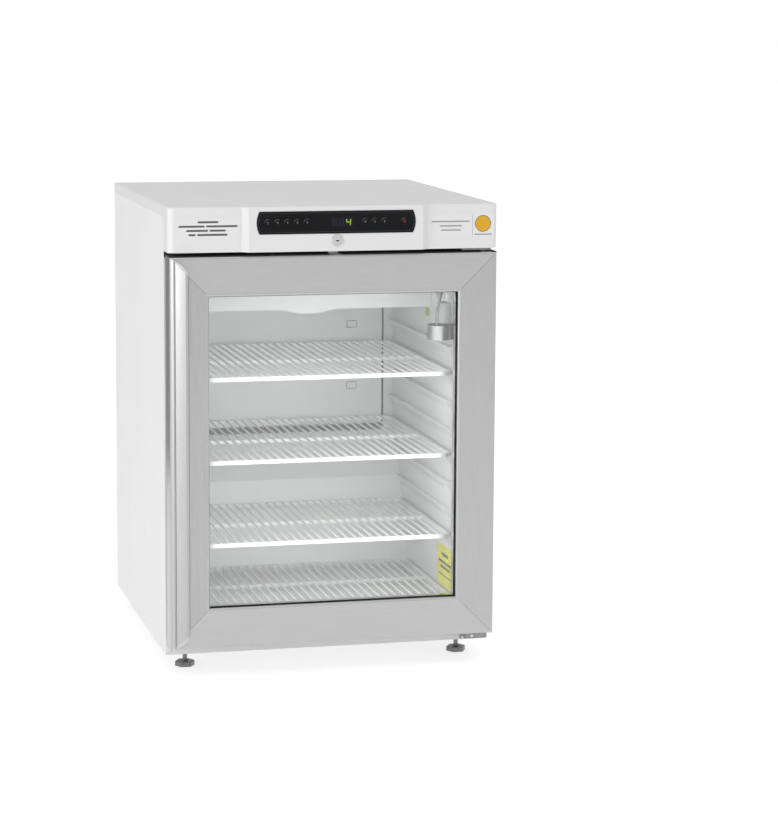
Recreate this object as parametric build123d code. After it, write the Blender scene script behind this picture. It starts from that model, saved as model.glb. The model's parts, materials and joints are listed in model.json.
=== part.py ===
from build123d import *
import math
import os

# Under-counter laboratory refrigerator with a glass door. Millimetres, +Z up, the door faces -Y.
# The origin is the middle of the bounding box's footprint, on the floor.

# Overall size. Heights are drawn from a datum plane DATUM_Z above the floor; save() adds it.
WIDTH = 595.0
DEPTH = 662.0
DATUM_Z = 8.0
TOP_Z = 830.0
BODY_BOTTOM_Z = 25.0

# Planes of the cabinet, front to back
HANDLE_FRONT_Y = -DEPTH / 2
BACK_Y = DEPTH / 2
DOOR_FRONT_Y = HANDLE_FRONT_Y + 22.0
PANEL_FRONT_Y = DOOR_FRONT_Y - 10.0
BODY_FRONT_Y = DOOR_FRONT_Y + 50.0
SIDE_X = WIDTH / 2
SHEET = 1.0

# Top cover and its fascia
COVER_SKIRT = 20.0
COVER_WALL = 3.0
COVER_BOTTOM_Z = TOP_Z - COVER_SKIRT
FASCIA_BOTTOM_Z = TOP_Z - 79.3
FASCIA_CORNER_R = 12.0
RAISED_HALF_W = 157.0
RAISED_FOOT_HALF_W = 168.0

# Sill strip and base
SILL_TOP_Z = 45.3
BASE_PLATE = 2.0

# Chamber
CHAMBER_HALF_W = 236.0
CHAMBER_FLOOR_Z = 92.0
CHAMBER_TOP_Z = 715.0
LINER = 1.5
LINER_BACK_Y = BACK_Y - 60.0
LINER_FLANGE_HALF_W = 282.0
HUMP_LOW_Y = BACK_Y - 245.0
HUMP_MID_Y = BACK_Y - 190.0
HUMP_MID_Z = 262.0
HUMP_TOP_Y = BACK_Y - 125.0
HUMP_TOP_Z = 343.0
FOAM_TOP_Z = 770.0
NICHE_TOP_Z = 295.0
RIB_TOP_Z = 564.5
RIB_PITCH = 50.0
RIB_COUNT = 8
RIB_DEPTH = 10.0
RIB_HEIGHT = 20.0
AIR_PANEL_Y = BACK_Y - 122.0
CEILING_COVER_FRONT_Y = -84.0
CEILING_COVER_BOTTOM_Z = 621.0

# Shelves: top height, front edge and back edge of each
SHELVES = {
    "shelf_1": (522.5, -251.0, 204.0),
    "shelf_2": (372.5, -251.0, 204.0),
    "shelf_3": (222.5, -251.0, 121.0),
    "shelf_4": (110.0, -251.0, 74.0),
}
SHELF_HALF_W = 231.0
SHELF_RAIL_H = 8.0
SHELF_RAIL_T = 6.0
SHELF_CORNER_R = 14.0
SHELF_WIRES = 28
SHELF_WIRE_R = 2.0

# Door
DOOR_HALF_W = 297.0
DOOR_BOTTOM_Z = 45.6
DOOR_TOP_Z = 744.2
DOOR_T = 42.0
FRAME_FLAT = 66.0
FRAME_W = 71.5
FRAME_EDGE_R = 5.0
FRAME_WALL = 2.0
BEAD_DEPTH = 3.0
REVEAL_RUBBER = 1.8
GLASS_DEPTH = 10.0
GLASS_UNIT_T = 20.0
GLASS_T = 4.0
GLASS_EDGE = 63.5
HANDLE_W = 36.0
HINGE_X = 277.0
HINGE_Y = BODY_FRONT_Y - 28.0
HINGE_PIN_R = 5.0
RUNNING_GAP = 0.06

# Controls
PANEL_Z = 801.6
PANEL_HALF_W = 138.0
PANEL_TIP = 143.0
PANEL_HALF_H = 19.9
PANEL_T = 2.0
PANEL_PROUD = 0.8
BUTTON_R = 6.5
BUTTON_GAP = 0.25
BUTTON_PITCH = 17.5
BUTTONS_LEFT_X = -123.4
BUTTONS_RIGHT_X = 51.2
POWER_BUTTON_X = 122.2
BUTTONS_Z = PANEL_Z + 0.6
LOCK_X = 1.5
LOCK_Z = 769.0
LOCK_R = 6.5
CAM_LENGTH = 23.4
CAM_Y = -290.0
CAM_T = 3.0
CAM_HALF_H = 5.0

# Feet
FOOT_X = 254.5
FOOT_FRONT_Y = BODY_FRONT_Y + 50.0
FOOT_REAR_Y = BACK_Y - 40.0
FOOT_STEM_R = 4.0
FOOT_PAD_R = 15.5
FOOT_PAD_H = 9.0


def block(x0, x1, y0, y1, z0, z1):
    """A box given by its two limits along each axis."""
    return Pos((x0 + x1) / 2, (y0 + y1) / 2, (z0 + z1) / 2) * Box(x1 - x0, y1 - y0, z1 - z0)


def rod_x(x0, x1, y, z, r):
    """A round bar along X."""
    return Pos((x0 + x1) / 2, y, z) * Rot(0, 90, 0) * Cylinder(r, x1 - x0)


def rod_y(x, y0, y1, z, r):
    """A round bar along Y."""
    return Pos(x, (y0 + y1) / 2, z) * Rot(90, 0, 0) * Cylinder(r, y1 - y0)


def rod_z(x, y, z0, z1, r):
    """A round bar along Z."""
    return Pos(x, y, (z0 + z1) / 2) * Cylinder(r, z1 - z0)


def prism_x(outline, x0, x1):
    """An outline of (y, z) points, extruded along X."""
    face = Face(Wire.make_polygon([Vector(x0, y, z) for y, z in outline], close=True))
    return extrude(face, x1 - x0, dir=(1, 0, 0))


def prism_y(outline, y0, y1):
    """An outline of (x, z) points, extruded along Y."""
    face = Face(Wire.make_polygon([Vector(x, y0, z) for x, z in outline], close=True))
    return extrude(face, y1 - y0, dir=(0, 1, 0))


def prism_z(outline, z0, z1):
    """An outline of (x, y) points, extruded along Z."""
    face = Face(Wire.make_polygon([Vector(x, y, z0) for x, y in outline], close=True))
    return extrude(face, z1 - z0, dir=(0, 0, 1))


def group(pieces):
    """Separate solids kept apart in one node."""
    return Compound(children=[solid for piece in pieces for solid in piece.solids()])


def save(name, shape):
    """Writes one node, raised from the drawing's datum to its height over the floor."""
    raised = group([Pos(0, 0, DATUM_Z) * solid for solid in shape.solids()])
    export_step(raised, f"parts/{name}.step")


# ---------------------------------------------------------------- cabinet shell


def side_panel(side):
    """Sheet side with a front and a rear return flange; side is -1 or 1."""

    def across(inner, outer, y0, y1):
        low, high = sorted((side * inner, side * outer))
        return block(low, high, y0, y1, BODY_BOTTOM_Z, COVER_BOTTOM_Z)

    sheet = across(SIDE_X - SHEET, SIDE_X, BODY_FRONT_Y, BACK_Y)
    front = across(LINER_FLANGE_HALF_W, SIDE_X, BODY_FRONT_Y, BODY_FRONT_Y + SHEET)
    rear = across(SIDE_X - 12.0, SIDE_X, BACK_Y - SHEET, BACK_Y)
    outer_edges = (sheet + front + rear).edges().filter_by(Axis.Z)
    corner = [e for e in outer_edges if abs(abs(e.center().X) - SIDE_X) < 0.01]
    return fillet([e for e in corner if e.center().Y < 0], 0.8 * SHEET)


def rear_panel():
    """Flat sheet behind the insulation, above the machine compartment."""
    return block(-SIDE_X + 12.0, SIDE_X - 12.0, BACK_Y - SHEET, BACK_Y, NICHE_TOP_Z, COVER_BOTTOM_Z)


INLET_X = 236.0
INLET_Z = 70.0
INLET_W = 30.0
INLET_H = 24.0


def rear_grille():
    """Cover of the machine compartment, with rows of air slots and the inlet's cut-out."""
    plate = block(-SIDE_X + 12.0, SIDE_X - 12.0, BACK_Y - SHEET, BACK_Y, BODY_BOTTOM_Z + 4.0, NICHE_TOP_Z)
    slot_w = 44.0
    slots = []
    for column in range(7):
        for row in range(9):
            x = (column - 3) * 60.0
            z = 120.0 + row * 18.0
            slots.append(block(x - slot_w / 2, x + slot_w / 2, BACK_Y - 3.0, BACK_Y + 1.0, z, z + 8.0))
    plate -= slots
    left = INLET_X - INLET_W / 2
    right = INLET_X + INLET_W / 2
    low = INLET_Z - INLET_H / 2
    high = INLET_Z + INLET_H / 2
    limits = [
        (-SIDE_X, left, 0.0, NICHE_TOP_Z),
        (left, SIDE_X, high, NICHE_TOP_Z),
        (left, SIDE_X, 0.0, low),
        (right, SIDE_X, low, high),
    ]
    return group([plate & block(x0, x1, 0.0, BACK_Y, z0, z1) for x0, x1, z0, z1 in limits])


def base_pan():
    """Folded base: a plate with upturned edges, two cross members and the feet's threaded inserts."""
    front = BODY_FRONT_Y + LINER
    rear = BACK_Y - 2.0
    top = SILL_TOP_Z - 0.3
    low = BODY_BOTTOM_Z + 0.2
    half = SIDE_X - SHEET - 0.2
    pan = block(-half, half, front, rear, low, low + BASE_PLATE)
    for side in (-1, 1):
        edge = sorted((side * half, side * (half - BASE_PLATE)))
        pan += block(*edge, front, rear, low, top)
    pan += block(-half, half, front, front + BASE_PLATE, low, top)
    pan += block(-half, half, HUMP_LOW_Y, HUMP_LOW_Y + BASE_PLATE, low, top)
    for x, y in foot_places():
        pan += rod_z(x, y, low, top, 9.0)
    for x, y in foot_places():
        pan -= rod_z(x, y, low - 1.0, top + 1.0, FOOT_STEM_R + RUNNING_GAP)
    return pan


def front_sill():
    """White strip under the door."""
    half = SIDE_X - SHEET
    strip = block(-half, half, BODY_FRONT_Y, BODY_FRONT_Y + LINER - 0.1, BODY_BOTTOM_Z, SILL_TOP_Z)
    return strip - side_panel(-1) - side_panel(1)


# ---------------------------------------------------------------- insulation and liner


def chamber_outline(grow=0.0):
    """The chamber's (y, z) outline: floor, hump over the machine compartment, back and ceiling."""
    front = BODY_FRONT_Y
    points = [
        (front, CHAMBER_FLOOR_Z - grow),
        (HUMP_LOW_Y + grow, CHAMBER_FLOOR_Z - grow),
        (HUMP_MID_Y + grow, HUMP_MID_Z - grow / 2),
        (HUMP_TOP_Y + grow / 2, HUMP_TOP_Z - grow),
        (LINER_BACK_Y + grow, HUMP_TOP_Z - grow),
        (LINER_BACK_Y + grow, CHAMBER_TOP_Z + grow),
        (front, CHAMBER_TOP_Z + grow),
    ]
    return points


def chamber(grow=0.0):
    """The chamber's space, or with grow the outside of its lining."""
    half = CHAMBER_HALF_W + grow
    return prism_x(chamber_outline(grow), -half, half)


def liner_rib(side, top):
    """A moulded shelf ledge on a side wall: flat on top and sloped below."""
    wall = side * (CHAMBER_HALF_W + LINER / 2)
    tip = side * (CHAMBER_HALF_W - RIB_DEPTH)
    outline = [(wall, top), (tip, top), (tip, top - 3.0), (wall, top - RIB_HEIGHT)]
    return prism_y(outline, BODY_FRONT_Y + 26.0, HUMP_TOP_Y - 6.0)


def inner_liner():
    """White chamber lining, with its front flange, shelf ribs and rear posts."""
    space = chamber()
    shell = chamber(LINER) - space
    flange = block(
        -LINER_FLANGE_HALF_W, LINER_FLANGE_HALF_W, BODY_FRONT_Y, BODY_FRONT_Y + LINER,
        SILL_TOP_Z, FASCIA_BOTTOM_Z + 4.0,
    )
    shell += flange - space
    for number in range(RIB_COUNT):
        for side in (-1, 1):
            rib = liner_rib(side, RIB_TOP_Z - number * RIB_PITCH)
            shell += rib & chamber(LINER / 2)
    for side in (-1, 1):
        low, high = sorted((side * 217.0, side * (CHAMBER_HALF_W + LINER / 2)))
        shell += block(
            low, high, AIR_PANEL_Y + 2.0, LINER_BACK_Y + LINER / 2, HUMP_TOP_Z - 0.5, CHAMBER_TOP_Z + 0.5
        )
    for side in (-1, 1):
        low, high = sorted((side * 221.0, side * (CHAMBER_HALF_W + LINER / 2)))
        shelf_bottom = SHELVES["shelf_4"][0] - SHELF_RAIL_H
        shell += block(low, high, BODY_FRONT_Y + 6.0, HUMP_LOW_Y - 4.0, CHAMBER_FLOOR_Z - 0.5, shelf_bottom)
    return shell


def insulation_foam():
    """Foam between shell and liner, as eight simple blocks that meet face to face."""
    lining = chamber(LINER)
    front = BODY_FRONT_Y + LINER
    rear = BACK_Y - SHEET
    inner = CHAMBER_HALF_W + LINER
    outer = SIDE_X - SHEET
    low = SILL_TOP_Z
    machine_front_y = HUMP_LOW_Y + 38.0
    machine_mid_y = HUMP_MID_Y + 25.0
    blocks = []
    for side in (-1, 1):
        edge = sorted((side * inner, side * outer))
        blocks.append(block(*edge, front, machine_front_y, low, COVER_BOTTOM_Z - 1.0))
        blocks.append(block(*edge, machine_front_y, rear, NICHE_TOP_Z, COVER_BOTTOM_Z - 1.0))
    blocks.append(block(-inner, inner, front, rear, CHAMBER_TOP_Z + LINER, FOAM_TOP_Z))
    blocks.append(block(-inner, inner, front, HUMP_LOW_Y, low, CHAMBER_FLOOR_Z - LINER))
    blocks.append(block(-inner, inner, LINER_BACK_Y + LINER, rear, HUMP_TOP_Z, CHAMBER_TOP_Z + LINER))
    blocks.append(block(-inner, inner, HUMP_TOP_Y, rear, NICHE_TOP_Z, HUMP_TOP_Z) - lining)
    lower_slope = [
        (HUMP_LOW_Y, low), (HUMP_LOW_Y, CHAMBER_FLOOR_Z), (HUMP_MID_Y, HUMP_MID_Z),
        (machine_mid_y, HUMP_MID_Z - 30.0), (machine_front_y, low),
    ]
    upper_slope = [
        (HUMP_MID_Y, HUMP_MID_Z), (HUMP_TOP_Y, HUMP_TOP_Z), (HUMP_TOP_Y, NICHE_TOP_Z),
        (machine_mid_y, HUMP_MID_Z - 30.0),
    ]
    blocks.append(prism_x(lower_slope, -inner, inner) - lining)
    blocks.append(prism_x(upper_slope, -inner, inner) - lining)
    return group(blocks)


# ---------------------------------------------------------------- top cover and controls


def fascia_outline(inset=0.0):
    """The fascia's (x, y) outline seen from above, with a raised middle; inset moves it inwards."""
    side = SIDE_X - inset
    flat = DOOR_FRONT_Y + inset
    raised = PANEL_FRONT_Y + inset
    foot = RAISED_FOOT_HALF_W - inset / 2
    edge = RAISED_HALF_W - inset / 2
    corner = FASCIA_CORNER_R - inset
    knee = corner * (1.0 - math.sqrt(0.5))
    back = BODY_FRONT_Y + 1.0
    return [
        Line((-side, back), (-side, flat + corner)),
        ThreePointArc((-side, flat + corner), (-side + knee, flat + knee), (-side + corner, flat)),
        Line((-side + corner, flat), (-foot, flat)),
        Line((-foot, flat), (-edge, raised)),
        Line((-edge, raised), (edge, raised)),
        Line((edge, raised), (foot, flat)),
        Line((foot, flat), (side - corner, flat)),
        ThreePointArc((side - corner, flat), (side - knee, flat + knee), (side, flat + corner)),
        Line((side, flat + corner), (side, back)),
        Line((side, back), (-side, back)),
    ]


def fascia_solid(inset, z0, z1):
    """The fascia's outline extruded between two heights."""
    face = make_face(Curve() + fascia_outline(inset))
    return Pos(0, 0, z0) * extrude(face, z1 - z0, dir=(0, 0, 1))


def panel_solid(y0, y1, grow=0.0):
    """The control panel's outline with arced ends, between two depths."""
    half_w = PANEL_HALF_W + grow
    tip = PANEL_TIP + grow
    half_h = PANEL_HALF_H + grow
    curves = [
        Line((-half_w, -half_h), (half_w, -half_h)),
        ThreePointArc((half_w, -half_h), (tip, 0), (half_w, half_h)),
        Line((half_w, half_h), (-half_w, half_h)),
        ThreePointArc((-half_w, half_h), (-tip, 0), (-half_w, -half_h)),
    ]
    face = Plane(origin=(0, y1, PANEL_Z), x_dir=(1, 0, 0), z_dir=(0, -1, 0)) * make_face(Curve() + curves)
    return extrude(face, y1 - y0, dir=(0, -1, 0))


def top_cover():
    """Moulded lid with skirt, in one piece with the hollow control fascia."""
    lid = block(-SIDE_X, SIDE_X, BODY_FRONT_Y - 1.0, BACK_Y, COVER_BOTTOM_Z, TOP_Z)
    body = lid + fascia_solid(0.0, FASCIA_BOTTOM_Z, TOP_Z)
    top_edges = [e for e in body.edges() if abs(e.center().Z - TOP_Z) < 0.01]
    body = fillet(top_edges, 2.5)
    inner_half = SIDE_X - COVER_WALL
    body -= block(
        -inner_half, inner_half, BODY_FRONT_Y - 2.0, BACK_Y - COVER_WALL,
        COVER_BOTTOM_Z - 1.0, TOP_Z - COVER_WALL,
    )
    body -= fascia_solid(COVER_WALL, FASCIA_BOTTOM_Z + COVER_WALL, TOP_Z - COVER_WALL)
    body -= block(
        -inner_half, inner_half, BODY_FRONT_Y - 3.0, BODY_FRONT_Y + 2.0,
        FASCIA_BOTTOM_Z + COVER_WALL, TOP_Z - COVER_WALL,
    )
    body -= block(
        -SIDE_X - 1.0, SIDE_X + 1.0, BODY_FRONT_Y, BODY_FRONT_Y + 2.0, FASCIA_BOTTOM_Z - 1.0, COVER_BOTTOM_Z
    )
    body -= panel_solid(PANEL_FRONT_Y - 1.0, PANEL_FRONT_Y + PANEL_T - PANEL_PROUD, 0.1)
    recess_half_w = PANEL_HALF_W - 5.0
    recess_half_h = 13.0
    body -= block(
        -recess_half_w, recess_half_w, PANEL_FRONT_Y - 1.0, PANEL_FRONT_Y + 6.0,
        PANEL_Z - recess_half_h, PANEL_Z + recess_half_h,
    )
    body -= rod_y(LOCK_X, PANEL_FRONT_Y - 1.0, PANEL_FRONT_Y + 6.0, LOCK_Z, LOCK_R + 0.3)
    body -= block(
        LOCK_X - 9.0, LOCK_X + 31.0, CAM_Y - 3.0, CAM_Y + 6.0, FASCIA_BOTTOM_Z - 1.0, FASCIA_BOTTOM_Z + 4.0
    )
    return body


def button_places():
    """X of every button, by node name, from left to right."""
    places = {f"button_{n + 1}": BUTTONS_LEFT_X + n * BUTTON_PITCH for n in range(5)}
    places.update({f"button_{n + 6}": BUTTONS_RIGHT_X + n * BUTTON_PITCH for n in range(3)})
    places["power_button"] = POWER_BUTTON_X
    return places


WINDOW_X0 = -10.0
WINDOW_X1 = 31.0
WINDOW_HALF_H = 8.8


def window_solid(y0, y1, gap=0.0):
    """The display window's block."""
    return block(
        WINDOW_X0 - gap, WINDOW_X1 + gap, y0, y1,
        PANEL_Z - WINDOW_HALF_H - gap, PANEL_Z + WINDOW_HALF_H + gap,
    )


def control_panel():
    """Black panel with a hole for each button and for the display window."""
    front = PANEL_FRONT_Y - PANEL_PROUD
    plate = panel_solid(front, front + PANEL_T)
    for x in button_places().values():
        plate -= rod_y(x, front - 1.0, front + PANEL_T + 1.0, BUTTONS_Z, BUTTON_R + BUTTON_GAP)
    return plate - window_solid(front - 1.0, front + PANEL_T + 1.0, 0.1)


def display_window():
    """Smoked lens of the temperature display."""
    front = PANEL_FRONT_Y - PANEL_PROUD
    return window_solid(front, front + 5.0)


def control_board():
    """Circuit board behind the panel, with the display module and the power module."""
    board_y = PANEL_FRONT_Y + 12.0
    board = block(-130.0, 130.0, board_y, board_y + 1.6, PANEL_Z - 18.0, PANEL_Z + 14.0)
    display = block(-12.0, 33.0, PANEL_FRONT_Y + 4.5, board_y, PANEL_Z - 10.0, PANEL_Z + 10.0)
    power = block(60.0, 120.0, board_y + 1.6, board_y + 26.0, PANEL_Z - 16.0, PANEL_Z + 12.0)
    relay = block(-100.0, -72.0, board_y + 1.6, board_y + 18.0, PANEL_Z - 12.0, PANEL_Z + 6.0)
    return board + display + power + relay


def push_button(x):
    """A round cap with a retaining flange behind the panel."""
    front = PANEL_FRONT_Y - PANEL_PROUD - 0.7
    flange_y = PANEL_FRONT_Y + PANEL_T - PANEL_PROUD + 0.2
    cap = rod_y(x, front, flange_y + 5.0, BUTTONS_Z, BUTTON_R)
    rim = cap.edges().filter_by(GeomType.CIRCLE).sort_by(Axis.Y)[0]
    return fillet(rim, 0.5) + rod_y(x, flange_y, flange_y + 1.2, BUTTONS_Z, BUTTON_R + 1.2)


def lock_escutcheon():
    """Plain ring round the key lock."""
    ring = rod_y(LOCK_X, PANEL_FRONT_Y - 1.6, PANEL_FRONT_Y, LOCK_Z, 11.0)
    ring = fillet(ring.edges().filter_by(GeomType.CIRCLE).sort_by(Axis.Y)[0], 1.0)
    return ring - rod_y(LOCK_X, PANEL_FRONT_Y - 3.0, PANEL_FRONT_Y + 1.0, LOCK_Z, LOCK_R + 0.3)


def lock_barrel():
    """Key barrel with a horizontal key slot, and the flat cam on its inner end."""
    front = PANEL_FRONT_Y - 1.2
    barrel = rod_y(LOCK_X, front, CAM_Y, LOCK_Z, LOCK_R)
    barrel -= block(LOCK_X - 2.8, LOCK_X + 2.8, front - 1.0, front + 9.0, LOCK_Z - 1.3, LOCK_Z + 1.3)
    cam = block(
        LOCK_X - LOCK_R, LOCK_X + CAM_LENGTH, CAM_Y, CAM_Y + CAM_T, LOCK_Z - CAM_HALF_H, LOCK_Z + CAM_HALF_H
    )
    return group([barrel, cam])


# ---------------------------------------------------------------- chamber fittings


def wire_shelf(top, front, back):
    """Coated wire shelf: a rounded flat-bar frame, a middle bar, and wires from front to back."""
    middle = (front + back) / 2
    depth = back - front
    low = top - SHELF_RAIL_H
    outer = RectangleRounded(2 * SHELF_HALF_W, depth, SHELF_CORNER_R)
    inner = RectangleRounded(
        2 * (SHELF_HALF_W - SHELF_RAIL_T), depth - 2 * SHELF_RAIL_T, SHELF_CORNER_R - SHELF_RAIL_T
    )
    shelf = Pos(0, middle, low) * extrude(outer - inner, SHELF_RAIL_H - 1.0)
    shelf += block(-SHELF_HALF_W + 2.0, SHELF_HALF_W - 2.0, middle - 3.0, middle + 3.0, low, top - 2.0)
    pitch = 2 * (SHELF_HALF_W - SHELF_RAIL_T) / (SHELF_WIRES + 1)
    wires = []
    for number in range(SHELF_WIRES):
        x = -SHELF_HALF_W + SHELF_RAIL_T + (number + 1) * pitch
        wires.append(rod_y(x, front + 2.0, back - 2.0, top - SHELF_WIRE_R, SHELF_WIRE_R))
    return shelf + wires


def air_panel():
    """Grey sheet in front of the evaporator, with four small pressed tabs."""
    bottom = HUMP_TOP_Z + 14.0
    panel = block(-213.0, 213.0, AIR_PANEL_Y, AIR_PANEL_Y + LINER, bottom, CHAMBER_TOP_Z - 1.0)
    tab_half_w = 9.0
    tab_half_h = 5.8
    tab_reach = 2.0
    for x in (-152.0, 152.0):
        for z in (433.5, 554.8):
            tab = Box(2 * tab_half_w, tab_reach, 2 * tab_half_h)
            panel += Pos(x, AIR_PANEL_Y - tab_reach / 2, z) * tab
    return panel


FAN_Y = 40.0
FAN_Z = CEILING_COVER_BOTTOM_Z + 22.0


def ceiling_cover():
    """White cover under the ceiling: a front plate with a shallow bulge and a bottom with an air inlet."""
    front = CEILING_COVER_FRONT_Y
    low = CEILING_COVER_BOTTOM_Z
    half = CHAMBER_HALF_W - 0.5
    rear = AIR_PANEL_Y - 0.5
    cover = block(-half, half, front, front + 2.0, low, CHAMBER_TOP_Z)
    cover += block(-half, half, front, rear, low, low + 2.0)
    bulge_half = 50.0
    bulge_drop = 8.0
    curves = [
        ThreePointArc((-bulge_half, low + 0.5), (0, low - bulge_drop), (bulge_half, low + 0.5)),
        Line((bulge_half, low + 0.5), (-bulge_half, low + 0.5)),
    ]
    face = Plane(origin=(0, front, 0), x_dir=(1, 0, 0), z_dir=(0, -1, 0)) * make_face(Curve() + curves)
    cover += extrude(face, 60.0, dir=(0, 1, 0))
    for ring in range(3):
        for step in range(12):
            angle = math.radians(30.0 * step)
            r = 14.0 + 13.0 * ring
            x = r * math.cos(angle)
            y = FAN_Y + r * math.sin(angle)
            cover -= rod_z(x, y, low - 1.0, low + 3.0, 2.2 + 0.6 * ring)
    return cover


def fan_frame(x, y, z, size, thickness, axis):
    """Square fan frame with a round duct and three spokes; axis is 'Y' or 'Z'."""
    half = size / 2
    frame = Box(size, size, thickness) - Cylinder(half - 4.0, thickness + 2.0)
    for number in range(3):
        spoke = Pos(0, 0, -thickness / 2 + 1.0) * Rot(0, 0, 120 * number + 30) * Pos(half / 2, 0, 0)
        frame += spoke * Box(half, 5.0, 2.0)
    frame += Pos(0, 0, -thickness / 2 + 1.0) * Cylinder(14.0, 2.0)
    frame += Cylinder(2.0, thickness - 2.0)
    turn = Rot(90, 0, 0) if axis == "Y" else Rot(0, 0, 0)
    return Pos(x, y, z) * turn * frame


def fan_rotor(x, y, z, radius, thickness, axis):
    """Hub with seven pitched blades, running on the frame's spindle."""
    rotor = Cylinder(14.0, thickness)
    for number in range(7):
        blade = Rot(0, 0, number * 360 / 7) * Pos((radius + 12.0) / 2, 0, 0) * Rot(32, 0, 0)
        rotor += blade * Box(radius - 12.0, 0.55 * radius, 1.6)
    rotor &= Cylinder(radius, thickness)
    rotor -= Cylinder(2.0 + RUNNING_GAP, thickness + 2.0)
    turn = Rot(90, 0, 0) if axis == "Y" else Rot(0, 0, 0)
    return Pos(x, y, z) * turn * rotor


def evaporator():
    """Finned tube pack behind the air panel."""
    y0 = AIR_PANEL_Y + 8.0
    y1 = LINER_BACK_Y - 6.0
    pack = [block(x - 0.5, x + 0.5, y0, y1, 400.0, 600.0) for x in range(-180, 181, 12)]
    coil = None
    for number in range(6):
        tube = rod_x(-196.0, 196.0, (y0 + y1) / 2, 418.0 + number * 33.0, 4.0)
        coil = tube if coil is None else coil + tube
    for number in range(5):
        side = 196.0 if number % 2 == 0 else -196.0
        coil += rod_z(side, (y0 + y1) / 2, 418.0 + number * 33.0, 451.0 + number * 33.0, 4.0)
    return coil + pack


BOTTLE_X = 218.0
BOTTLE_Y = -232.0
BOTTLE_R = 14.5
HOLDER_X = 212.0
HOLDER_Z = 579.0
HOLDER_H = 26.5
HOLDER_R = 23.0
PROBE_X = 207.0
PROBE_Y = BOTTLE_Y - 14.0
PROBE_R = 1.25


def bottle_holder():
    """Steel ring on the right wall, with a wall tab and a floor strip for the bottle."""
    top = HOLDER_Z + HOLDER_H
    ring = rod_z(HOLDER_X, BOTTLE_Y, HOLDER_Z, top, HOLDER_R)
    ring -= rod_z(HOLDER_X, BOTTLE_Y, HOLDER_Z - 1.0, top + 1.0, HOLDER_R - 1.0)
    ring_edge_x = HOLDER_X - HOLDER_R + 0.5
    wall_x = CHAMBER_HALF_W - 1.0
    strip = block(ring_edge_x, wall_x, BOTTLE_Y - 4.0, BOTTLE_Y + 4.0, HOLDER_Z, HOLDER_Z + 1.0)
    tab = block(CHAMBER_HALF_W - 2.0, CHAMBER_HALF_W, BOTTLE_Y - 10.0, BOTTLE_Y + 10.0, HOLDER_Z, top)
    return ring + strip + tab


def sensor_bottle():
    """Small clear bottle with a rounded foot and a cap, standing in the ring."""
    bottom = HOLDER_Z + 1.0
    shoulder = bottom + 67.0
    wall = 1.5
    body = rod_z(BOTTLE_X, BOTTLE_Y, bottom, shoulder, BOTTLE_R)
    body = fillet(body.edges().filter_by(GeomType.CIRCLE), 6.0)
    hollow = rod_z(BOTTLE_X, BOTTLE_Y, bottom + wall, shoulder - wall, BOTTLE_R - wall)
    hollow = fillet(hollow.edges().filter_by(GeomType.CIRCLE), 5.0)
    return group([body - hollow, rod_z(BOTTLE_X, BOTTLE_Y, shoulder, shoulder + 14.0, 7.0)])


def temperature_probe():
    """Thin steel probe that leans into the ring, hanging from a conical plug in the ceiling."""
    tip = Vector(PROBE_X - 6.0, PROBE_Y + 3.0, HOLDER_Z + 8.0)
    throat = Vector(PROBE_X, PROBE_Y, HOLDER_Z + 72.0)
    rod = Solid.make_cylinder(PROBE_R, (throat - tip).length, Plane(origin=tip, z_dir=throat - tip))
    cone_h = 18.0
    plug_r = 7.0
    cone = Pos(PROBE_X, PROBE_Y, throat.Z + cone_h / 2 - 1.0) * Cone(2.4, plug_r, cone_h)
    stem = rod_z(PROBE_X, PROBE_Y, throat.Z + cone_h - 1.0, CHAMBER_TOP_Z, plug_r)
    return rod + cone + stem


# ---------------------------------------------------------------- machine compartment

COMPRESSOR_X = 130.0
COMPRESSOR_Y = 235.0
CONDENSER_X = -150.0


def compressor():
    """Welded steel pot with a foot plate and a terminal box."""
    pot = rod_z(COMPRESSOR_X, COMPRESSOR_Y, 48.0, 190.0, 74.0)
    pot = fillet(pot.edges().filter_by(GeomType.CIRCLE), 30.0)
    x = COMPRESSOR_X
    y = COMPRESSOR_Y
    plate = block(x - 85.0, x + 85.0, y - 60.0, y + 60.0, 45.0, 48.5)
    terminal = block(x + 60.0, x + 98.0, y - 25.0, y + 25.0, 80.0, 140.0)
    return pot + plate + terminal


def compressor_mounts():
    """Four rubber grommets under the compressor's foot plate."""
    floor = BODY_BOTTOM_Z + 0.2 + BASE_PLATE
    return group([
        rod_z(COMPRESSOR_X + sx * 70.0, COMPRESSOR_Y + sy * 48.0, floor, 45.0, 10.0)
        for sx in (-1, 1) for sy in (-1, 1)
    ])


def condenser():
    """Finned tube block in front of the fan."""
    x0 = CONDENSER_X - 85.0
    x1 = CONDENSER_X + 85.0
    y0 = 176.0
    y1 = 216.0
    low = BODY_BOTTOM_Z + 0.2 + BASE_PLATE
    block_top = 222.0
    body = block(x0, x1, y0 - 1.0, y1 + 1.0, low, low + 5.0)
    for side in (x0, x1 - 1.5):
        body += block(side, side + 1.5, y0 - 1.0, y1 + 1.0, low, block_top)
    for number in range(13):
        z = 46.0 + number * 14.0
        body += block(x0, x1, y0, y1, z, z + 0.8)
    for number in range(5):
        body += rod_x(x0 - 6.0, x1 + 6.0, (y0 + y1) / 2, 53.0 + number * 33.0, 4.0)
    return body


def evaporation_tray():
    """Open tray on top of the compressor, where the defrost water dries up."""
    x = COMPRESSOR_X
    y = COMPRESSOR_Y
    outer = block(x - 80.0, x + 80.0, y - 60.0, y + 70.0, 190.0, 214.0)
    return outer - block(x - 78.0, x + 78.0, y - 58.0, y + 68.0, 192.0, 215.0)


def tube_along(points, radius, bend):
    """A round tube along straight runs with equal bends."""
    path = FilletPolyline(*points, radius=bend)
    start = path % 0
    section = Plane(origin=path @ 0, z_dir=start) * Circle(radius)
    return sweep(section, path=path)


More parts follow.
